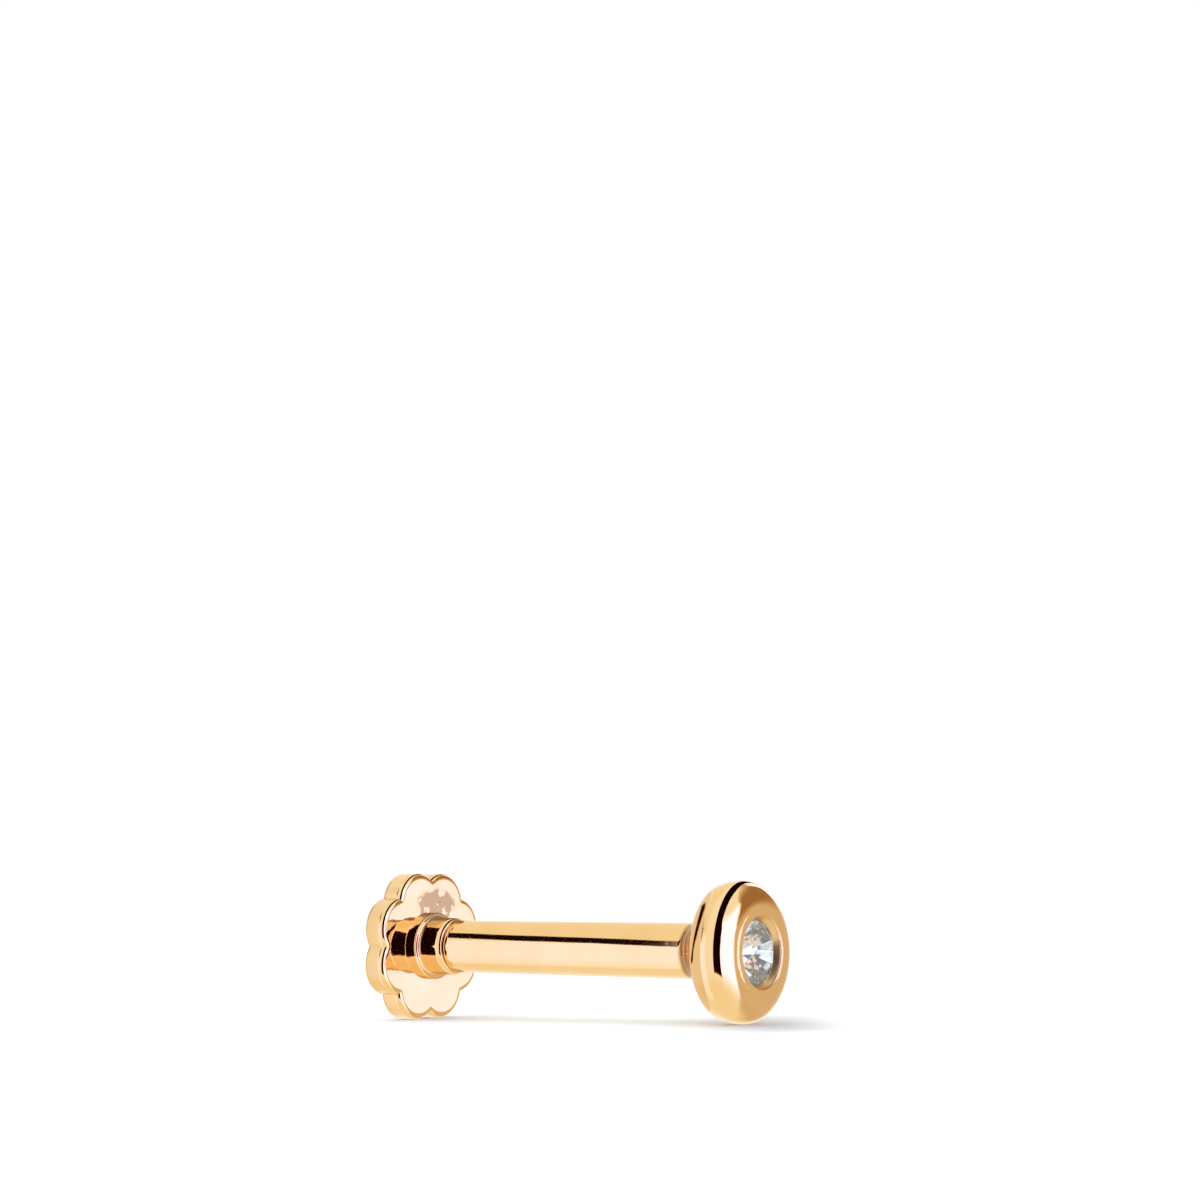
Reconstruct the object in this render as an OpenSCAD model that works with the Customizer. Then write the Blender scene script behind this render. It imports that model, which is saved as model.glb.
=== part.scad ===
// Stud earring with a rubbed-over stone and a flower-shaped screw back.
// The post lies along X, with the stone towards +X and the flower towards -X.
// The origin is midway along the earring, on the surface under the flower's two lowest petals.

/* [Post] */
// Outside diameter of the post
post_d = 1.2; // [1.0:0.05:1.6]
// Length of the straight post, from its open end to the flare
post_l = 6.72; // [5:0.02:10]
// Length of the taper at the post's open end
end_taper_l = 0.3; // [0.1:0.05:0.6]
// Drop in radius of the taper at the open end
end_taper = 0.03; // [0.01:0.01:0.05]

/* [Bezel] */
// Diameter of the bezel ring
bezel_d = 3.0; // [2.6:0.05:4]
// Length of the domed back, from the flare's start to the rim
back_h = 0.78; // [0.75:0.01:1.2]
// Radius of the hollow flare between post and back
flare_r = 0.35; // [0.2:0.05:0.4]
// Width of the straight rim
rim_w = 0.48; // [0.3:0.02:0.8]
// Rounding of the rim's back edge
rim_r = 0.12; // [0.05:0.01:0.2]
// Height of the rounded front above the rim
front_h = 0.48; // [0.45:0.01:0.6]
// Radius of the front's shoulder
shoulder_r = 0.4; // [0.3:0.05:0.45]
// Turn of the shoulder before the flatter front takes over
shoulder_turn = 50; // [40:1:60]
// Diameter of the opening around the stone
opening_d = 1.5; // [1.48:0.01:1.6]
// Rounding of the opening's edge
opening_r = 0.04; // [0.02:0.01:0.06]

/* [Stone] */
// Diameter of the stone
stone_d = 1.44; // [1.36:0.01:1.46]
// Distance between opposite corners of the stone's table
table_d = 0.86; // [0.75:0.01:0.9]
// Distance of the star tips from the stone's axis
star_r = 0.56; // [0.52:0.01:0.6]
// Distance of the lower facets' tips from the stone's axis
lower_tip_r = 0.16; // [0.1:0.01:0.3]
// Slope of the crown's main facets
crown_angle = 34; // [31:1:36]
// Slope of the pavilion's main facets
pavilion_angle = 41; // [39:1:42]
// Thickness of the stone's edge
girdle_t = 0.03; // [0.02:0.01:0.05]
// Depth of the stone's edge below the front of the bezel
stone_depth = 0.21; // [0.2:0.01:0.3]
// Overlap of the rubbed-over metal on the stone's edge
grip = 0.04; // [0.03:0.005:0.06]
// Radius of the hole below the stone
light_hole_r = 0.4; // [0.3:0.05:0.45]

/* [Flower back] */
// Number of petals
petals = 8; // [6:2:10]
// Radius of each petal
petal_r = 0.72; // [0.65:0.01:0.8]
// Distance of the petals' centres from the axis
petal_ring_r = 1.06; // [1:0.01:1.12]
// Thickness of the flower
flower_t = 0.57; // [0.4:0.01:0.8]
// Bevel around the flower's front
front_bevel = 0.1; // [0.05:0.01:0.11]
// Bevel around the flower's outer face
outer_bevel = 0.05; // [0.02:0.01:0.1]
// Diameter of the low collar on the flower
collar_d = 1.56; // [1.45:0.01:1.8]
// Thickness of the collar
collar_t = 0.17; // [0.1:0.01:0.3]
// Rounding of the collar's edge
collar_r = 0.04; // [0.02:0.01:0.06]
// Diameter of the neck between collar and post
neck_d = 1.32; // [1.26:0.01:1.42]
// Length of the neck
neck_l = 0.65; // [0.4:0.01:1]
// Length over which the neck narrows to the post's end
neck_taper_l = 0.14; // [0.05:0.01:0.3]

/* [Threaded pin] */
// Outside diameter of the thread
pin_d = 0.9; // [0.7:0.01:0.92]
// Depth of the thread
thread_depth = 0.06; // [0.03:0.01:0.08]
// Distance between threads
thread_pitch = 0.26; // [0.2:0.01:0.35]
// Number of threads
threads = 10; // [6:1:14]

/* [Fits] */
// Gap between the thread and the post's bore
bore_gap = 0.02; // [0.01:0.005:0.03]
// Gap between the neck and the post's end
seam_gap = 0.02; // [0.01:0.01:0.05]
// Gap around the stone in its seat
stone_gap = 0.015; // [0.01:0.005:0.02]
// Free depth of the bore past the pin
bore_spare = 0.3; // [0.1:0.05:0.5]
// Free depth of the hole below the stone's point
light_hole_spare = 0.12; // [0.05:0.01:0.15]

/* [Hidden] */
$fn = 96;

gold = [0.95, 0.76, 0.48];
clear = [0.93, 0.95, 0.98];

// Radii of the round pieces
post_r = post_d / 2;
bezel_r = bezel_d / 2;
stone_r = stone_d / 2;
table_r = table_d / 2;
pin_r = pin_d / 2;
bore_r = pin_r + bore_gap;
neck_end_r = post_r - end_taper;

// Lengths along the axis
pin_l = threads * thread_pitch;
front_l = post_l + back_h + rim_w + front_h;
total_l = flower_t + collar_t + neck_l + seam_gap + front_l;

// Places along X, from the flower's outer face to the front of the bezel
outer_x = -total_l / 2;
face_x = outer_x + flower_t;
collar_x = face_x + collar_t;
neck_x = collar_x + neck_l;
seam_x = neck_x + seam_gap;
flare_x = seam_x + post_l;
rim_x = flare_x + back_h;
shoulder_x = rim_x + rim_w;
front_x = shoulder_x + front_h;

// Height of the axis: two petals rest on the surface, one on each side of the lowest notch
half_petal = 180 / petals;
axis_z = petal_ring_r * cos(half_petal) + petal_r;

// Centre of the rim's rounded back edge
rim_c_x = rim_x + rim_r;
rim_c_r = bezel_r - rim_r;

// Slope of the back, tangent to the flare and to the rim's back edge
back_rise = rim_c_r - post_r - flare_r;
back_run = rim_c_x - flare_x;
back_angle = atan2(back_rise, back_run) + asin((flare_r + rim_r) / norm([back_rise, back_run]));

// Shoulder of the front and the flatter arc that follows it
shoulder_c_r = bezel_r - shoulder_r;
shoulder_end_x = shoulder_x + shoulder_r * sin(shoulder_turn);
shoulder_end_r = shoulder_c_r + shoulder_r * cos(shoulder_turn);
dome_r = (front_x - shoulder_end_x) / (1 - sin(shoulder_turn));
dome_c_x = front_x - dome_r;
dome_c_r = shoulder_end_r - dome_r * cos(shoulder_turn);

// Opening around the stone
opening_edge_r = opening_d / 2;

// Stone, from its point to its table
girdle_top_x = front_x - stone_depth;
girdle_low_x = girdle_top_x - girdle_t;
culet_h = stone_r * tan(pavilion_angle);
culet_x = girdle_low_x - culet_h;
table_h = (stone_r - table_r) * tan(crown_angle);

// Turn from a main facet to the tips beside it, half of an eighth of a circle
tip_turn = 22.5;

// Seat that holds the stone with a small gap
hold_r = stone_r - grip;
seat_r = stone_r + stone_gap;
hold_x = girdle_top_x + grip * tan(crown_angle) + stone_gap / cos(crown_angle);
groove_top_x = hold_x - (seat_r - hold_r) * tan(crown_angle);
seat_top_x = girdle_low_x + stone_gap * tan(pavilion_angle) - stone_gap / cos(pavilion_angle);
seat_low_x = seat_top_x - (seat_r - light_hole_r) * tan(pavilion_angle);
light_hole_x = culet_x - light_hole_spare;

// Blind bore of the post, and the slope of the point that the drill leaves
drill_slope = 30;
bore_end_x = seam_x + pin_l + bore_spare;
drill_point = bore_r * tan(drill_slope);

// Small overlap that joins shapes of one piece, and the number of steps in an arc
join = 0.01;
arc_steps = 12;

// Turns a profile drawn as [radius, place along X] round the post's axis
module turned() {
    translate([0, 0, axis_z])
        rotate([0, 90, 0])
            rotate_extrude()
                children();
}

// Points [radius, place along X] of an arc; 0 degrees points outwards and 90 towards +X
function arc(c_r, c_x, r, from, to) =
    [for (i = [0 : arc_steps]) let (a = from + (to - from) * i / arc_steps)
        [c_r + r * cos(a), c_x + r * sin(a)]];

// Outline of the post and bezel, from the post's open end to the front
module post_and_bezel_profile() {
    polygon(concat(
        [
            [0, seam_x],
            [neck_end_r, seam_x],
            [post_r, seam_x + end_taper_l]
        ],
        // Hollow flare into the back, and the rounded back edge of the rim
        arc(post_r + flare_r, flare_x, flare_r, 180, 180 - back_angle),
        arc(rim_c_r, rim_c_x, rim_r, -back_angle, 0),
        // Shoulder of the front, and the flatter arc that follows it
        arc(shoulder_c_r, shoulder_x, shoulder_r, 0, shoulder_turn),
        arc(dome_c_r, dome_c_x, dome_r, shoulder_turn + 90 / arc_steps, 90),
        [[0, front_x]]
    ));
}

// Hollow for the stone, from the opening down to the hole below its point
module seat_profile() {
    polygon([
        [0, front_x + join],
        [opening_edge_r + opening_r + join, front_x + join],
        [opening_edge_r, front_x - opening_r],
        [hold_r, hold_x],
        [seat_r, groove_top_x],
        [seat_r, seat_top_x],
        [light_hole_r, seat_low_x],
        [light_hole_r, light_hole_x],
        [0, light_hole_x]
    ]);
}

// Blind bore for the threaded pin, with a drilled point
module bore_profile() {
    polygon([
        [0, seam_x - join],
        [bore_r, seam_x - join],
        [bore_r, bore_end_x],
        [0, bore_end_x + drill_point]
    ]);
}

module bezel_and_post() {
    color(gold)
        turned()
            difference() {
                post_and_bezel_profile();
                seat_profile();
                bore_profile();
            }
}

// Points of one ring of the stone
function ring(count, r, z, turn) =
    [for (i = [0 : count - 1]) let (a = turn + i * 360 / count) [r * cos(a), r * sin(a), z]];

// Rise of a main facet of the given slope, from the stone's edge to a tip between two of them
function rise_to_tip(r, slope) = (stone_r - r * cos(tip_turn)) * tan(slope);

// Round brilliant: a table, stars, kites and girdle facets above, kites and girdle facets below
module stone() {
    table = ring(8, table_r, table_h, 0);
    stars = ring(8, star_r, rise_to_tip(star_r, crown_angle), tip_turn);
    girdle_top = ring(16, stone_r, 0, 0);
    girdle_low = ring(16, stone_r, -girdle_t, 0);
    tips = ring(8, lower_tip_r, -girdle_t - rise_to_tip(lower_tip_r, pavilion_angle), tip_turn);
    culet = [[0, 0, -girdle_t - culet_h]];
    // Number of each ring's first point in the list of all points
    star_at = len(table);
    top_at = star_at + len(stars);
    low_at = top_at + len(girdle_top);
    tip_at = low_at + len(girdle_low);
    culet_at = tip_at + len(tips);
    faces = concat(
        [[for (i = [7 : -1 : 0]) i]],
        [for (i = [0 : 7]) [i, (i + 1) % 8, star_at + i]],
        [for (i = [0 : 7]) [i, star_at + i, top_at + 2 * i]],
        [for (i = [0 : 7]) [i, top_at + 2 * i, star_at + (i + 7) % 8]],
        [for (i = [0 : 7]) [star_at + i, top_at + 2 * i + 1, top_at + 2 * i]],
        [for (i = [0 : 7]) [star_at + i, top_at + (2 * i + 2) % 16, top_at + 2 * i + 1]],
        [for (i = [0 : 15]) [top_at + i, top_at + (i + 1) % 16, low_at + (i + 1) % 16]],
        [for (i = [0 : 15]) [top_at + i, low_at + (i + 1) % 16, low_at + i]],
        [for (i = [0 : 7]) [low_at + 2 * i, low_at + 2 * i + 1, tip_at + i]],
        [for (i = [0 : 7]) [low_at + 2 * i + 1, low_at + (2 * i + 2) % 16, tip_at + i]],
        [for (i = [0 : 7]) [low_at + 2 * i, tip_at + i, culet_at]],
        [for (i = [0 : 7]) [low_at + 2 * i, culet_at, tip_at + (i + 7) % 8]]
    );
    color(clear)
        translate([girdle_top_x, 0, axis_z])
            rotate([0, 90, 0])
                polyhedron(
                    points = concat(table, stars, girdle_top, girdle_low, tips, culet),
                    faces = faces
                );
}

// One petal: a disc with a bevel on each side
module petal() {
    cylinder(h = outer_bevel, r1 = petal_r - outer_bevel, r2 = petal_r);
    translate([0, 0, outer_bevel])
        cylinder(h = flower_t - outer_bevel - front_bevel, r = petal_r);
    translate([0, 0, flower_t - front_bevel])
        cylinder(h = front_bevel, r1 = petal_r, r2 = petal_r - front_bevel);
}

// Flower with a notch straight down, so that it rests on two petals
module flower() {
    translate([outer_x, 0, axis_z])
        rotate([0, 90, 0]) {
            cylinder(h = flower_t, r = petal_ring_r);
            for (i = [0 : petals - 1])
                rotate([0, 0, (i + 0.5) * 360 / petals])
                    translate([petal_ring_r, 0, 0])
                        petal();
        }
}

// Collar, neck and a pin with its threads cut as rings
module collar_neck_and_pin() {
    collar_edge_r = collar_d / 2;
    turned()
        polygon(concat(
            [
                [0, face_x - join],
                [collar_edge_r, face_x - join],
                [collar_edge_r, collar_x - collar_r],
                [collar_edge_r - collar_r, collar_x],
                [neck_d / 2, collar_x],
                [neck_d / 2, neck_x - neck_taper_l],
                [neck_end_r, neck_x],
                [pin_r - thread_depth, neck_x]
            ],
            [for (i = [0 : threads - 1]) each [
                [pin_r - thread_depth, neck_x + (i + 0.25) * thread_pitch],
                [pin_r, neck_x + (i + 0.5) * thread_pitch],
                [pin_r - thread_depth, neck_x + (i + 0.75) * thread_pitch]
            ]],
            [
                [pin_r - thread_depth, neck_x + pin_l],
                [0, neck_x + pin_l]
            ]
        ));
}

module flower_back() {
    color(gold)
        union() {
            flower();
            collar_neck_and_pin();
        }
}

bezel_and_post();
stone();
flower_back();
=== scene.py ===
import math

import bpy
from mathutils import Matrix, Vector


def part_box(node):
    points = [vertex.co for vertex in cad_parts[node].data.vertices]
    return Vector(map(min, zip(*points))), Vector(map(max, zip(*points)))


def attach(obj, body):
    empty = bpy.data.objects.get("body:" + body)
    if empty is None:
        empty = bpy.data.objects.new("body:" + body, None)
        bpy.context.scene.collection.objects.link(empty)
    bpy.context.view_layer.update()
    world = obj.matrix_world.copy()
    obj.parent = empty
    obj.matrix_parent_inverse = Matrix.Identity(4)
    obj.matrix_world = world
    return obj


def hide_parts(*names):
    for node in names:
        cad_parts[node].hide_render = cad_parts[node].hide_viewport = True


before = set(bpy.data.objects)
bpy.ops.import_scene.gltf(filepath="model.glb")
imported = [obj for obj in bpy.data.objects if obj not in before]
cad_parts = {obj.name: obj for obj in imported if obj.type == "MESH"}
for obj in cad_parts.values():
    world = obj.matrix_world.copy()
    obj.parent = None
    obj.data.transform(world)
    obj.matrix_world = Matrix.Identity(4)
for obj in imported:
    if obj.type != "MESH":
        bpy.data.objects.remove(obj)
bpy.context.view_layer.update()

# Sizes in millimetres and angles in degrees, as the earring is built
MM = 0.001

# Post, with a taper and a rounded mouth at its open end; two support rings keep its shading straight
POST_R = 0.6
POST_SUPPORT = 0.04
END_TAPER_L = 0.12
END_TAPER = 0.03
TAPER_STEPS = 8
MOUTH = 0.03

# Bezel: its back with the flare, its rim with a slight bend and a rounded edge, and its domed front
BACK_H = 0.78
FLARE_R = 0.35
BEZEL_R = 1.5
RIM_W = 0.48
RIM_R = 0.12
RIM_CROWN = 14
RIM_BEND = 5.5
RIM_BEND_R = 0.15
RIM_STRAIGHT = 0.08
FRONT_H = 0.48
SHOULDER_R = 0.4
SHOULDER_TURN = 50

# Stone and its setting: the opening, the cut, the metal rubbed over the edge, and the hole below
OPENING_R = 0.75
OPENING_EDGE = 0.04
STONE_R = 0.72
CROWN_ANGLE = 34
PAVILION_ANGLE = 41
GIRDLE_T = 0.03
STONE_DEPTH = 0.21
STONE_GAP = 0.015
GRIP = 0.06
GRIP_EDGE = (0.01, 0.005)
LIGHT_HOLE_R = 0.4
LIGHT_HOLE_SPARE = 0.12

# Flower
PETALS = 8
PETAL_R = 0.72
PETAL_RING_R = 1.06
FLOWER_T = 0.57
FRONT_BEVEL = 0.12
OUTER_BEVEL = 0.05
BEVEL_STEPS = 5
EDGE_MARGIN = 0.03

# Collar and neck
COLLAR_R = 0.78
COLLAR_T = 0.17
COLLAR_EDGE = 0.04
NECK_R = 0.66
NECK_L = 0.65
NECK_TAPER_L = 0.14
NECK_FILLET = 0.05

# Threaded pin, and the bore that it screws into
PIN_R = 0.45
THREAD_DEPTH = 0.06
THREAD_PITCH = 0.26
THREADS = 10
THREAD_WIDTH = 0.8 * THREAD_PITCH
THREAD_FOOT = 0.01
THREAD_CREST = 0.02
THREAD_CREST_DROP = 0.005
THREAD_STEPS = 64
PIN_TIP = 0.08
BORE_GAP = 0.02
BORE_SPARE = 0.3
DRILL_ANGLE = 30

# Places from the frame, in millimetres: the post's open end, the front and the flower's outer face
FRONT_LOW, FRONT_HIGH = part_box("bezel_and_post")
BACK_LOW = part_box("flower_back")[0]
SEAM_X = FRONT_LOW[0] / MM
FRONT_X = FRONT_HIGH[0] / MM
OUTER_X = BACK_LOW[0] / MM
AXIS_Z = (FRONT_LOW[2] + FRONT_HIGH[2]) / 2 / MM
SHOULDER_X = FRONT_X - FRONT_H
RIM_X = SHOULDER_X - RIM_W
FLARE_X = RIM_X - BACK_H
FACE_X = OUTER_X + FLOWER_T
COLLAR_X = FACE_X + COLLAR_T
NECK_X = COLLAR_X + NECK_L
PIN_L = THREADS * THREAD_PITCH
BORE_R = PIN_R + BORE_GAP

# Steps round the axis and a petal, angles of sharp edges, and the distance in metres that merges points
ROUND = 192
PETAL_STEPS = ROUND // PETALS
SHARP_EDGE = 26
SHARP_THREAD_EDGE = 40
MERGE = 2e-8

# Finishes: colours, how fine the polishing lines are along each axis, and the depth of the wear
LIGHT_GOLD = (0.975, 0.705, 0.385, 1)
DEEP_GOLD = (0.955, 0.672, 0.345, 1)
# Painted shade for the corner where the post meets the ring
PAINTED_CORNER_SHADE = (0.42, 0.2, 0.07, 1)
MATT_GOLD = (0.64, 0.51, 0.29, 1)
BOARD_DARK = (0.865, 0.9, 0.915, 1)
BOARD_LIGHT = (0.885, 0.92, 0.935, 1)
PAPER_DARK = (0.05, 0.05, 0.05, 1)
PAPER_LIGHT = (0.07, 0.07, 0.07, 1)
POST_LINES = (120.0, 1400.0, 1400.0)
BACK_LINES = (900.0, 900.0, 900.0)
SLOW_WAVES = (0.1 / MM, 1 / MM, 1 / MM)
WEAR_DEPTH = 0.004

# Matt mark on the flower: its place across and above the axis, its size, its width and its ragged edge
MATT_MARK = (0.15, 0.98, 0.42)
MARK_WIDTH = 0.55
MARK_RAGGED = 0.35

# The camera, from the photograph: turned and raised from the earring's middle, in degrees and millimetres
VIEW_TURN = 37.7
VIEW_RISE = 1.43
VIEW_ROLL = 0.09
VIEW_DISTANCE = 45.7
PHOTO_SIZE = 1200
FOCAL_PIXELS = 2001.0
MIDDLE_PIXEL = (577.0, 948.7)
SENSOR = 36.0

# The floor's size, and the soft light: its spread in degrees, strength and direction
FLOOR_SIZE = 4000
SUN_SPREAD = 50
SUN_STRENGTH = 0.3
SUN_FROM = (-0.6, -0.3, 0.7)

# How bright the surround's box and card are, and how much darker its dark places
BOX_GLOW = 2.7
CARD_GLOW = 1.85
DARKNESS = 0.992

# Card that shades the floor beside the bezel: its width and length, its height and its middle
SHADE_SIZE = (1.35, 7.0)
SHADE_HEIGHT = 1.4
SHADE_MIDDLE = (4.8, 0.42)


# Angles and places


def sin(degrees):
    return math.sin(math.radians(degrees))


def cos(degrees):
    return math.cos(math.radians(degrees))


def tan(degrees):
    return math.tan(math.radians(degrees))


def at(x, y=0.0, r=0.0):
    """A place in metres, from the place along X, across Y, and the height above the axis in millimetres."""
    return Vector((x * MM, y * MM, (AXIS_Z + r) * MM))


AXIS = at(0)


# Modelling by hand


def edit(piece):
    """Goes into edit mode on one piece, with nothing selected."""
    bpy.ops.object.select_all(action="DESELECT")
    bpy.context.view_layer.objects.active = piece
    piece.select_set(True)
    bpy.ops.object.mode_set(mode="EDIT")
    bpy.ops.mesh.select_mode(type="VERT")
    bpy.ops.mesh.select_all(action="DESELECT")


def done():
    """Leaves edit mode."""
    bpy.ops.object.mode_set(mode="OBJECT")


def select(piece, kind, test):
    """Selects only the edges or faces of a piece that pass a test, from inside edit mode."""
    done()
    for item in (*piece.data.vertices, *piece.data.edges, *piece.data.polygons):
        item.select = False
    for item in getattr(piece.data, kind):
        item.select = test(item)
    bpy.ops.object.mode_set(mode="EDIT")
    bpy.ops.mesh.select_mode(type="EDGE" if kind == "edges" else "FACE")


def lies_at(piece, edge, x):
    """Whether both ends of an edge lie at a place along X."""
    return all(abs(piece.data.vertices[i].co.x - x) < MERGE for i in edge.vertices)


def settle(piece):
    """Places the mesh in the world, closes it and turns its faces outwards."""
    done()
    bpy.ops.object.select_all(action="DESELECT")
    bpy.context.view_layer.objects.active = piece
    piece.select_set(True)
    bpy.ops.object.transform_apply(location=True, rotation=True, scale=True)
    edit(piece)
    bpy.ops.mesh.select_all(action="SELECT")
    bpy.ops.mesh.remove_doubles(threshold=MERGE)
    bpy.ops.mesh.normals_make_consistent(inside=False)
    done()


def first_point(name, place):
    """A new piece that is a single point, made from a small square."""
    bpy.ops.object.select_all(action="DESELECT")
    bpy.ops.mesh.primitive_plane_add(size=MM, location=place)
    piece = bpy.context.object
    piece.name = piece.data.name = name
    edit(piece)
    bpy.ops.mesh.select_all(action="SELECT")
    bpy.ops.mesh.merge(type="CENTER")
    return piece


def draw(name, profile):
    """Draws a profile, given as [place along X, radius], by extruding one point after another."""
    places = [at(x, 0, r) for x, r in profile]
    piece = first_point(name, places[0])
    for a, b in zip(places, places[1:]):
        bpy.ops.mesh.extrude_region_move(TRANSFORM_OT_translate={"value": b - a})
    return piece


def turn(name, profile):
    """Draws a profile and spins it round the post's axis."""
    piece = draw(name, profile)
    bpy.ops.mesh.select_all(action="SELECT")
    bpy.ops.mesh.spin(steps=ROUND, angle=math.tau, center=AXIS, axis=(1, 0, 0))
    bpy.ops.mesh.select_all(action="SELECT")
    bpy.ops.mesh.remove_doubles(threshold=MERGE)
    return piece


def arc(c_x, c_r, r, start, end, steps):
    """Points of an arc; 0 degrees points outwards and 90 towards +X."""
    turns = [start + (end - start) * i / steps for i in range(steps + 1)]
    return [(c_x + r * sin(a), c_r + r * cos(a)) for a in turns]


def smooth(piece, angle):
    """Shades a piece smooth, apart from edges sharper than an angle."""
    bpy.ops.object.select_all(action="DESELECT")
    bpy.context.view_layer.objects.active = piece
    piece.select_set(True)
    bpy.ops.object.shade_smooth_by_angle(angle=math.radians(angle))


# The pieces


def post_profile():
    """The bore with its drilled end, the mouth, the taper and the straight post."""
    end_r = POST_R - END_TAPER
    bore_end_x = SEAM_X + PIN_L + BORE_SPARE
    profile = [(bore_end_x + BORE_R * tan(DRILL_ANGLE), 0), (bore_end_x, BORE_R)]
    profile += [(SEAM_X + MOUTH, BORE_R), (SEAM_X, BORE_R + MOUTH)]
    profile += arc(SEAM_X + MOUTH, end_r - MOUTH, MOUTH, -90, -8, 5)
    for i in range(1, TAPER_STEPS + 1):
        share = i / TAPER_STEPS
        profile.append((SEAM_X + END_TAPER_L * share, end_r + END_TAPER * sin(90 * share)))
    profile.append((SEAM_X + END_TAPER_L + POST_SUPPORT, POST_R))
    profile.append((FLARE_X - POST_SUPPORT, POST_R))
    return profile


def back_and_rim_profile():
    """The flare, the back's slope, and the rim with its rounded edge."""
    rim_c_x = RIM_X + RIM_R
    rim_c_r = BEZEL_R - RIM_R
    # The slope is tangent to the flare and to the rim's rounded edge
    rise = rim_c_r - POST_R - FLARE_R
    run = rim_c_x - FLARE_X
    slope = math.atan2(rise, run) + math.asin((FLARE_R + RIM_R) / math.hypot(rise, run))
    slope = math.degrees(slope)
    profile = arc(FLARE_X, POST_R + FLARE_R, FLARE_R, 180, 180 - slope, 16)
    # The rim is not quite straight: polishing has rounded its back half a little
    bend_x = SHOULDER_X - RIM_STRAIGHT
    bend_end_x = bend_x - RIM_BEND_R * sin(RIM_BEND)
    bend_end_r = BEZEL_R - RIM_BEND_R * (1 - cos(RIM_BEND))
    crown_r = (bend_end_x - rim_c_x) / (sin(RIM_CROWN) - sin(RIM_BEND))
    crown_c_x = bend_end_x + crown_r * sin(RIM_BEND)
    crown_c_r = bend_end_r - crown_r * cos(RIM_BEND)
    drop = crown_r * (cos(RIM_BEND) - cos(RIM_CROWN))
    profile += arc(rim_c_x + RIM_R * sin(RIM_CROWN), rim_c_r - drop, RIM_R, -slope, -RIM_CROWN, 12)
    profile += arc(crown_c_x, crown_c_r, crown_r, -RIM_CROWN, -RIM_BEND, 6)[1:]
    profile += arc(bend_x, BEZEL_R - RIM_BEND_R, RIM_BEND_R, -RIM_BEND, 0, 3)[1:]
    return profile


def front_profile():
    """The rounded shoulder, the domed front and the opening's rounded edge."""
    shoulder_c_r = BEZEL_R - SHOULDER_R
    turned_x = SHOULDER_X + SHOULDER_R * sin(SHOULDER_TURN)
    turned_r = shoulder_c_r + SHOULDER_R * cos(SHOULDER_TURN)
    dome_r = (FRONT_X - turned_x) / (1 - sin(SHOULDER_TURN))
    dome_c_r = turned_r - dome_r * cos(SHOULDER_TURN)
    profile = arc(SHOULDER_X, shoulder_c_r, SHOULDER_R, 0, SHOULDER_TURN, 16)
    profile += arc(FRONT_X - dome_r, dome_c_r, dome_r, SHOULDER_TURN, 90, 14)[1:]
    profile += arc(FRONT_X - OPENING_EDGE, OPENING_R + OPENING_EDGE, OPENING_EDGE, 90, 180, 6)
    return profile


def setting_profile():
    """The metal rubbed over the stone, the groove for its edge, its seat and the hole below."""
    girdle_x = FRONT_X - STONE_DEPTH
    low_x = girdle_x - GIRDLE_T
    hold_r = STONE_R - GRIP
    seat_r = STONE_R + STONE_GAP
    hold_x = girdle_x + GRIP * tan(CROWN_ANGLE) + STONE_GAP / cos(CROWN_ANGLE)
    groove_x = hold_x - (seat_r - hold_r) * tan(CROWN_ANGLE)
    seat_x = low_x + STONE_GAP * tan(PAVILION_ANGLE) - STONE_GAP / cos(PAVILION_ANGLE)
    hole_x = seat_x - (seat_r - LIGHT_HOLE_R) * tan(PAVILION_ANGLE)
    hole_end_x = low_x - STONE_R * tan(PAVILION_ANGLE) - LIGHT_HOLE_SPARE
    profile = [(hold_x + GRIP_EDGE[0], hold_r + GRIP_EDGE[1]), (hold_x, hold_r), (groove_x, seat_r)]
    profile += [(seat_x, seat_r), (hole_x, LIGHT_HOLE_R), (hole_end_x, LIGHT_HOLE_R), (hole_end_x, 0)]
    return profile


def make_bezel_and_post():
    """Ring, domed back and hollow post in one turned shape."""
    profile = post_profile() + back_and_rim_profile() + front_profile() + setting_profile()
    piece = turn("bezel_and_post_polished", profile)
    settle(piece)
    smooth(piece, SHARP_EDGE)
    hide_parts("bezel_and_post")
    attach(piece, "front")
    return piece


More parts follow.
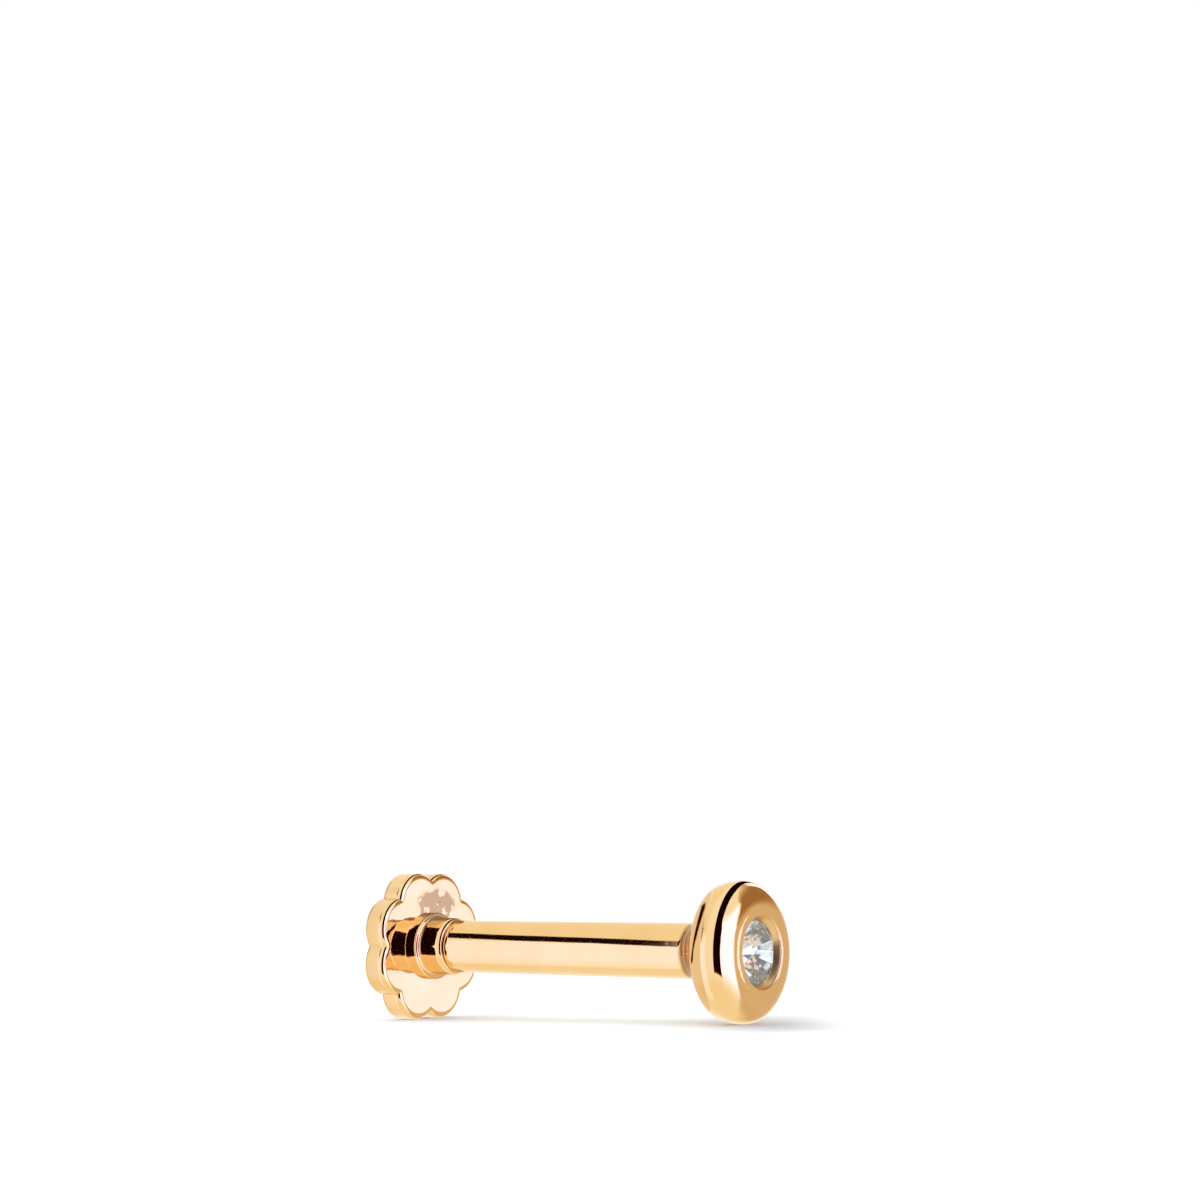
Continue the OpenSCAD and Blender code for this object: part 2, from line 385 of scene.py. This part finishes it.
def make_flower():
    """Flower from one petal's edge, spun eight times, then filled, extruded and bevelled."""
    half = 180 / PETALS
    notch = PETAL_RING_R * cos(half) + math.sqrt(PETAL_R**2 - (PETAL_RING_R * sin(half)) ** 2)
    sweep = 2 * math.degrees(math.asin(notch * sin(half) / PETAL_R))
    # The notches point straight up and down, so a petal's middle is half a petal away
    start = at(OUTER_X, 0, notch)
    centre = at(OUTER_X, PETAL_RING_R * sin(half), PETAL_RING_R * cos(half))
    piece = first_point("flower_back_polished", start)
    bpy.ops.mesh.spin(steps=PETAL_STEPS, angle=math.radians(sweep), center=centre, axis=(1, 0, 0))
    bpy.ops.mesh.select_all(action="SELECT")
    bpy.ops.mesh.spin(steps=PETALS, dupli=True, angle=math.tau, center=AXIS, axis=(1, 0, 0))
    bpy.ops.mesh.select_all(action="SELECT")
    bpy.ops.mesh.remove_doubles(threshold=MERGE)
    bpy.ops.mesh.edge_face_add()
    bpy.ops.mesh.select_all(action="SELECT")
    edge_steps = (OUTER_BEVEL + EDGE_MARGIN, FRONT_BEVEL + EDGE_MARGIN)
    for step in (edge_steps[0], FLOWER_T - sum(edge_steps), edge_steps[1]):
        bpy.ops.mesh.extrude_region_move(TRANSFORM_OT_translate={"value": (step * MM, 0, 0)})
    bpy.ops.mesh.select_all(action="SELECT")
    bpy.ops.mesh.normals_make_consistent(inside=False)
    for x, size in ((FACE_X, FRONT_BEVEL), (OUTER_X, OUTER_BEVEL)):
        face_x = x * MM - piece.location.x
        select(piece, "edges", lambda edge: lies_at(piece, edge, face_x))
        bpy.ops.mesh.bevel(offset=size * MM, segments=BEVEL_STEPS, affect="EDGES", clamp_overlap=False)
    # The front face opens to the collar's foot, whose edge has as many points
    done()
    front = max(piece.data.polygons, key=lambda face: face.normal.x * face.area).index
    select(piece, "polygons", lambda face: face.index == front)
    bpy.ops.mesh.inset(thickness=EDGE_MARGIN * MM)
    bpy.ops.mesh.delete(type="ONLY_FACE")
    settle(piece)
    return piece


def make_flower_back():
    """Flower, collar, neck and the pin's core as one closed shape."""
    flower = make_flower()
    core_r = PIN_R - THREAD_DEPTH
    end_r = POST_R - END_TAPER
    profile = [(FACE_X, COLLAR_R)]
    profile += arc(COLLAR_X - COLLAR_EDGE, COLLAR_R - COLLAR_EDGE, COLLAR_EDGE, 0, 90, 6)
    profile += arc(COLLAR_X + NECK_FILLET, NECK_R + NECK_FILLET, NECK_FILLET, 270, 180, 6)
    for i in range(TAPER_STEPS + 1):
        share = i * 90 / TAPER_STEPS
        profile.append((NECK_X - NECK_TAPER_L * (1 - sin(share)), end_r + (NECK_R - end_r) * cos(share)))
    tip_x = NECK_X + PIN_L
    profile += [(NECK_X, core_r), (tip_x - PIN_TIP, core_r), (tip_x, core_r - PIN_TIP), (tip_x, 0)]
    neck = turn("neck", profile)
    settle(neck)
    bpy.ops.object.select_all(action="DESELECT")
    neck.select_set(True)
    flower.select_set(True)
    bpy.context.view_layer.objects.active = flower
    bpy.ops.object.join()
    edit(flower)
    bpy.ops.mesh.select_mode(type="EDGE")
    bpy.ops.mesh.select_non_manifold()
    bpy.ops.mesh.bridge_edge_loops()
    settle(flower)
    smooth(flower, SHARP_EDGE)
    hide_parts("flower_back")
    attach(flower, "back")
    return flower


def make_thread():
    """Helical ridge round the pin's core, from a small profile and a screw."""
    foot_r = PIN_R - THREAD_DEPTH - THREAD_FOOT
    half = THREAD_WIDTH / 2
    start_x = NECK_X + 0.5 * THREAD_PITCH
    turns = THREADS - 1
    crest, crest_r = THREAD_CREST, PIN_R - THREAD_CREST_DROP
    profile = [(start_x - half, foot_r), (start_x - crest, crest_r), (start_x, PIN_R)]
    profile += [(start_x + crest, crest_r), (start_x + half, foot_r)]
    piece = draw("pin_thread", profile)
    bpy.ops.mesh.select_all(action="SELECT")
    bpy.ops.mesh.edge_face_add()
    bpy.ops.mesh.delete(type="ONLY_FACE")
    done()
    bpy.context.scene.cursor.location = at(start_x)
    bpy.ops.object.origin_set(type="ORIGIN_CURSOR")
    screw = piece.modifiers.new("thread", "SCREW")
    screw.axis = "X"
    screw.angle = math.tau * turns
    screw.screw_offset = turns * THREAD_PITCH * MM
    screw.steps = screw.render_steps = THREAD_STEPS * turns
    screw.use_normal_calculate = True
    bpy.ops.object.modifier_apply(modifier=screw.name)
    edit(piece)
    bpy.ops.mesh.select_mode(type="EDGE")
    bpy.ops.mesh.select_non_manifold()
    bpy.ops.mesh.edge_face_add()
    settle(piece)
    smooth(piece, SHARP_THREAD_EDGE)
    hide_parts("flower_back")
    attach(piece, "back")
    return piece


# Materials


class Socket:
    """A shader value that can be written in a sum."""

    def __init__(self, maker, link):
        self.maker = maker
        self.link = link

    def math(self, operation, *others):
        return self.maker.node("ShaderNodeMath", {"operation": operation}, [self, *others])

    def __add__(self, other):
        return self.math("ADD", other)

    def __sub__(self, other):
        return self.math("SUBTRACT", other)

    def __rsub__(self, other):
        return self.maker.node("ShaderNodeMath", {"operation": "SUBTRACT"}, [other, self])

    def __mul__(self, other):
        return self.math("MULTIPLY", other)

    __radd__ = __add__
    __rmul__ = __mul__

    def clamp(self):
        """Held between 0 and 1."""
        return self.math("MAXIMUM", 0.0).math("MINIMUM", 1.0)

    def band(self, low, high):
        """0 below low, 1 above high, and a smooth step between."""
        settings = {"interpolation_type": "SMOOTHSTEP"}
        values = {"Value": self, "From Min": low, "From Max": high}
        return self.maker.node("ShaderNodeMapRange", settings, values)


class Maker:
    """Adds nodes to one node tree."""

    def __init__(self, tree):
        self.tree = tree
        tree.nodes.clear()

    def node(self, kind, settings=None, values=None, out=0):
        """A node from its type, its settings, and the values or links of its sockets."""
        new = self.tree.nodes.new(kind)
        for key, value in (settings or {}).items():
            setattr(new, key, value)
        pairs = values.items() if isinstance(values, dict) else enumerate(values or [])
        for key, value in pairs:
            if isinstance(value, Socket):
                self.tree.links.new(value.link, new.inputs[key])
            else:
                new.inputs[key].default_value = value
        return Socket(self, new.outputs[out]) if new.outputs else None

    def on_piece(self, scale=(1 / MM,) * 3):
        """The place on a piece, in millimetres or stretched along its axes."""
        spot = self.node("ShaderNodeTexCoord", out="Object")
        return self.node("ShaderNodeMapping", {}, {"Vector": spot, "Scale": scale})

    def parts(self, vector):
        """The X, Y and Z of a vector."""
        split = self.node("ShaderNodeSeparateXYZ", {}, [vector])
        return [Socket(self, output) for output in split.link.node.outputs]

    def noise(self, where, scale, detail=2.0, rough=0.5):
        values = {"Vector": where, "Scale": scale, "Detail": detail, "Roughness": rough}
        return self.node("ShaderNodeTexNoise", {}, values)

    def mix(self, share, a, b):
        return self.node("ShaderNodeMix", {"data_type": "RGBA"}, {0: share, 6: a, 7: b}, 2)

    def shader(self, values):
        return self.node("ShaderNodeBsdfPrincipled", {}, values)

    def finish(self, surface, kind="ShaderNodeOutputMaterial"):
        self.node(kind, {}, {"Surface": surface})


def new_material(name):
    material = bpy.data.materials.new(name)
    material.use_nodes = True
    return material, Maker(material.node_tree)


def matt_mark(make, in_mm, mark):
    """Ragged matt mark on the flower's front face, around a place."""
    x, y, z = make.parts(in_mm)
    beside, above, size = mark
    off_y = (y - beside) * MARK_WIDTH
    off_z = z - AXIS_Z - above
    ragged = MARK_RAGGED * (make.noise(in_mm, 2.5, 2) - 0.5)
    shape = (off_y * off_y + off_z * off_z).math("SQRT") + ragged
    holes = make.noise(in_mm, 4.0, 2).band(0.55, 0.65)
    return x.band(FACE_X - 0.1, FACE_X) * (1 - shape.band(size * 0.8, size)) * (1 - holes)


def gold_material(name, along, mark=None):
    """Polished yellow gold, with its polishing lines stretched by along and perhaps a matt mark."""
    material, make = new_material(name)
    in_mm = make.on_piece()
    x, y, z = make.parts(in_mm)
    from_axis = (y * y + (z - AXIS_Z) * (z - AXIS_Z)).math("SQRT")
    # The polish does not reach the wall around the stone
    front = x.math("GREATER_THAN", FRONT_X - STONE_DEPTH)
    inside = (1 - from_axis.band(OPENING_R - 0.01, OPENING_R + 0.02)) * front
    # Painted shade darkens the colour in the corner where the post meets the ring
    painted_corner_shade = x.band(FLARE_X - 0.06, FLARE_X + 0.06) * (1 - x.band(FLARE_X + 0.25, FLARE_X + 0.4))
    painted_corner_shade = painted_corner_shade * (1 - from_axis.band(0.85, 1.05))
    # Fine wear, and the slow waves that hand polishing leaves along the post
    tone = make.noise(in_mm, 0.9, 3)
    scuffs = make.noise(in_mm, 5.0, 4, 0.6).band(0.56, 0.72)
    lines = make.noise(make.on_piece(along), 1.0, 4, 0.7)
    pits = make.noise(in_mm, 30.0, 2)
    slow = make.on_piece(SLOW_WAVES)
    hand = make.noise(slow, 1.3, 1)
    dents = make.noise(slow, 3.4, 1)
    ripple = make.noise(slow, 16.0, 1)
    colour = make.mix(tone.band(0.35, 0.65), LIGHT_GOLD, DEEP_GOLD)
    # Painted shade mixed into the colour at the corner by the post
    colour = make.mix(0.8 * painted_corner_shade, colour, PAINTED_CORNER_SHADE)
    rough = 0.035 + 0.05 * scuffs + 0.03 * lines.clamp() + 0.3 * inside
    if mark:
        matt = matt_mark(make, in_mm, mark)
        rough = rough + 0.2 * matt
        colour = make.mix(matt, colour, MATT_GOLD)
    height = hand * 1.2 + dents * 0.9 + ripple * 0.06 + lines * 0.012 + pits * 0.006 + scuffs * 0.006
    bump = make.node("ShaderNodeBump", {}, {"Strength": 1.0, "Distance": WEAR_DEPTH * MM, "Height": height})
    make.finish(make.shader({"Base Color": colour, "Metallic": 1.0, "Roughness": rough, "Normal": bump}))
    return material


def stone_material():
    """Clear cut stone; its facets below the girdle throw the light back, as in a well cut stone, and glow
    faintly as painted light.
    """
    material, make = new_material("clear_stone")
    in_mm = make.on_piece()
    haze = make.noise(in_mm, 6.0, 3)
    rough = 0.004 + 0.012 * haze.band(0.5, 0.75)
    colour = make.mix(haze.band(0.3, 0.7), (1.0, 1.0, 1.0, 1), (0.965, 0.98, 1.0, 1))
    mirror_tint_and_glow = make.mix(haze.band(0.3, 0.7), (0.95, 0.98, 1.0, 1), (0.9, 0.955, 1.0, 1))
    clear = {"Base Color": colour, "Roughness": rough, "IOR": 1.4, "Transmission Weight": 1.0}
    mirror_with_glow = {"Base Color": mirror_tint_and_glow, "Roughness": rough + 0.08, "Metallic": 1.0}
    # The facets below the girdle glow faintly: painted light, though they are no lamp
    mirror_with_glow |= {"Emission Color": mirror_tint_and_glow, "Emission Strength": 0.08}
    crown = make.parts(in_mm)[0].math("GREATER_THAN", FRONT_X - STONE_DEPTH - GIRDLE_T / 2)
    make.finish(make.node("ShaderNodeMixShader", {}, [crown, make.shader(mirror_with_glow), make.shader(clear)]))
    return material


def paper_material(name, grain_scale, dark, light, rough):
    """Matt board or paper with a fine grain."""
    material, make = new_material(name)
    colour = make.mix(make.noise(make.on_piece(), grain_scale, 3), dark, light)
    make.finish(make.shader({"Base Color": colour, "Roughness": rough}))
    return material


# Camera, floor and light


def place_camera():
    """Puts the camera where the photograph was taken from, and gives its direction from the earring."""
    data = bpy.data.cameras.new("camera")
    data.sensor_width = SENSOR
    data.lens = SENSOR * FOCAL_PIXELS / PHOTO_SIZE
    data.clip_start = 1 * MM
    data.clip_end = 5000 * MM
    camera = bpy.data.objects.new("camera", data)
    bpy.context.collection.objects.link(camera)
    bpy.context.scene.camera = camera
    towards = Vector((sin(VIEW_TURN) * cos(VIEW_RISE), -cos(VIEW_TURN) * cos(VIEW_RISE), sin(VIEW_RISE)))
    camera.location = AXIS + towards * VIEW_DISTANCE * MM
    level = (-towards).to_track_quat("-Z", "Y").to_matrix()
    level = level @ Matrix.Rotation(math.radians(VIEW_ROLL), 3, "Z")
    # The earring's middle lies off the picture's centre, so the camera is aimed beside it
    half = PHOTO_SIZE / 2
    ray = Vector((MIDDLE_PIXEL[0] - half, half - MIDDLE_PIXEL[1], -FOCAL_PIXELS)).normalized()
    aim = Vector((0, 0, -1)).rotation_difference(ray).to_matrix()
    camera.rotation_mode = "QUATERNION"
    camera.rotation_quaternion = (level @ aim.inverted()).to_quaternion()
    return towards


def sheet(name, size, place):
    """A square sheet, selected and ready to be turned or scaled."""
    bpy.ops.object.select_all(action="DESELECT")
    bpy.ops.mesh.primitive_plane_add(size=size * MM, location=place)
    made = bpy.context.object
    made.name = made.data.name = name
    return made


def place_floor():
    """White board that touches both the flower and the bezel, which is a little smaller."""
    flower_x = (OUTER_X + FACE_X) / 2
    rim_x = (RIM_X + SHOULDER_X) / 2
    flower_low = BACK_LOW[2] / MM
    lean = math.atan((AXIS_Z - BEZEL_R - flower_low) / (rim_x - flower_x))
    board = sheet("floor", FLOOR_SIZE, (flower_x * MM, 0, flower_low * MM))
    bpy.ops.transform.rotate(value=lean, orient_axis="Y", center_override=board.location)
    bpy.ops.object.transform_apply(location=True, rotation=True, scale=True)
    board.data.materials.append(paper_material("white_board", 0.9, BOARD_DARK, BOARD_LIGHT, 0.7))
    board.visible_glossy = False


def add_shade():
    """Card around the bezel, lying along the view, for the soft shadow beside it."""
    card = sheet("shade_card", 1, at(*SHADE_MIDDLE, SHADE_HEIGHT - BEZEL_R))
    card.scale = (*SHADE_SIZE, 1)
    card.rotation_euler.z = math.radians(VIEW_TURN)
    bpy.ops.object.transform_apply(location=True, rotation=True, scale=True)
    card.data.materials.append(paper_material("grey_paper", 2.0, PAPER_DARK, PAPER_LIGHT, 0.9))
    card.visible_camera = card.visible_glossy = card.visible_transmission = False


def add_sun():
    """Soft light from the left and a little behind, for the shadow."""
    bpy.ops.object.select_all(action="DESELECT")
    bpy.ops.object.light_add(type="SUN", location=AXIS)
    sun = bpy.context.object
    sun.name = "soft_light"
    sun.data.angle = math.radians(SUN_SPREAD)
    sun.data.energy = SUN_STRENGTH
    sun.rotation_mode = "QUATERNION"
    sun.rotation_quaternion = Vector(SUN_FROM).to_track_quat("Z", "Y")
    sun.visible_glossy = False


# The surround, by direction: across runs to the left as the camera sees it, and ahead runs towards it


def dark_slot(across, high_across, ahead, z, through):
    """Dark slot in front of the camera, that goes up and over to the far side."""
    middle = (across + 0.179 - 0.018 * ahead).math("ABSOLUTE")
    width = middle - 0.17 * ahead + 0.01 * through
    slot = (1 - width.band(0.22, 0.245)) * z.band(-0.5, -0.42) * high_across.band(-0.5, -0.48)
    return slot * (1 - (1 - ahead.band(-0.6, -0.3)) * (1 - z.band(0.3, 0.45)))


def dark_doorway(x, y, z):
    """Dark doorway far to the left."""
    edge = x - 0.17 * z
    door = (1 - edge.band(-0.855, -0.835)) * edge.band(-0.91, -0.88) * z.band(-0.25, -0.15)
    return door * (1 - y.band(0.05, 0.25))


def dark_strip(x, y, z):
    """Dark strip up to the left, that only the straight post reflects."""
    rise = z.math("ARCTAN2", 0 - y)
    off_middle = (rise + 4.555 * x + 2.113).math("ABSOLUTE")
    return (1 - off_middle.band(0.2, 0.22)) * x.band(-0.677, -0.673) * (1 - x.band(-0.57, -0.5685))


def bright_box(across, high_across, y, z):
    """Bright box to the right of the camera, with an edge that follows the slot upwards."""
    box = (1 - across.band(-0.5, -0.46)) * (1 - y.band(0.38, 0.5))
    box = box * z.band(-0.6, -0.25) * (1 - z.band(0.45, 0.65))
    edge = (1 - high_across.band(-0.42, -0.36)) * across.band(-0.56, -0.46) * z.band(0.0, 0.3)
    return box.math("MAXIMUM", edge * (1 - z.band(0.45, 0.75)))


def bright_card(x, y, z):
    """Small bright card that lights the flower's face."""
    off_middle = (x - 0.67).math("ABSOLUTE").math("MAXIMUM", (z + 0.02).math("ABSOLUTE"))
    return (1 - off_middle.band(0.06, 0.08)) * y.band(0.5, 0.6)


def dim_far_side(x, y, z):
    """How much dimmer the far side is."""
    far = y.band(0.35, 0.5) * (1 - z.band(0.6, 0.95)) * x.band(-0.3, 0.0)
    return far * (0.3 + 0.34 * z.band(0.1, 0.35)) * z.band(-0.95, -0.6)


def studio(towards):
    """White surround with the tones that the polished gold shows, placed by direction."""
    world = bpy.data.worlds.new("studio")
    bpy.context.scene.world = world
    world.use_nodes = True
    make = Maker(world.node_tree)
    x, y, z = make.parts(make.node("ShaderNodeTexCoord", out="Generated"))
    flat = Vector((towards.x, towards.y)).normalized()
    across = x * flat.y - y * flat.x
    high_across = across - 0.1 * z.band(0.35, 0.65)
    ahead = x * flat.x + y * flat.y
    seen = make.node("ShaderNodeLightPath", out="Is Camera Ray")
    scattered = make.node("ShaderNodeLightPath", out="Is Diffuse Ray")
    through = make.node("ShaderNodeLightPath", out="Transmission Depth").math("GREATER_THAN", 0.5)
    dark = dark_slot(across, high_across, ahead, z, through)
    dark = dark.math("MAXIMUM", dark_doorway(x, y, z)).math("MAXIMUM", dark_strip(x, y, z))
    box = bright_box(across, high_across, y, z)
    card = bright_card(x, y, z)
    # Light left front below, which the post shows, and warmer light above and below
    by_post = x.band(-0.684, -0.668) * (1 - x.band(-0.5, -0.4))
    by_petals = 1 - x.band(-0.7, -0.676)
    left = by_post * (1 - y.band(-0.35, -0.05)) * (1 - z.band(0.3, 0.45))
    warm = (by_post * z.band(0.3, 0.5)).math("MAXIMUM", 1 - z.band(-0.8, -0.45))
    light = (1.0 + 0.45 * left) * (1 - 0.05 * warm) * (1 - 0.14 * by_petals) * (1 - dim_far_side(x, y, z))
    light = light * (1 - box) + BOX_GLOW * box
    light = light * (1 - card) + CARD_GLOW * card
    light = light * (1 - DARKNESS * dark)
    # Dimmer light is warmer and brighter light is cooler
    tone = light.clamp()
    extra = light - tone
    red = tone + 0.5 * extra
    green = tone.math("POWER", 1.6) * (1 - 0.05 * warm) + 0.3 * extra
    blue = tone.math("POWER", 2.5) * (1 - 0.2 * warm) + extra
    tinted = make.node("ShaderNodeCombineColor", {}, [red, green, blue])
    # The clear stone shows this light whiter than the gold does
    grey = tone.math("POWER", 0.45)
    white = make.node("ShaderNodeCombineColor", {}, [grey, grey, grey])
    colour = make.mix(0.85 * through, tinted, white)
    # The background is plain white, and so is the light that falls on matt surfaces
    colour = make.mix(seen.math("MAXIMUM", scattered), colour, (1, 1, 1, 1))
    values = {"Color": colour, "Strength": 1 + 0.42 * scattered}
    make.finish(make.node("ShaderNodeBackground", {}, values), "ShaderNodeOutputWorld")


towards_camera = place_camera()
bezel_and_post = make_bezel_and_post()
flower_back = make_flower_back()
thread = make_thread()

bezel_and_post.data.materials.append(gold_material("polished_gold_front", POST_LINES))
gold_back = gold_material("polished_gold_back", BACK_LINES, MATT_MARK)
for part in (flower_back, thread):
    part.data.materials.append(gold_back)
clear_stone = stone_material()
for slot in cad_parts["stone"].material_slots:
    slot.material = clear_stone

place_floor()
studio(towards_camera)
add_shade()
add_sun()

bpy.context.scene.view_settings.view_transform = "Standard"
bpy.context.scene.view_settings.look = "None"
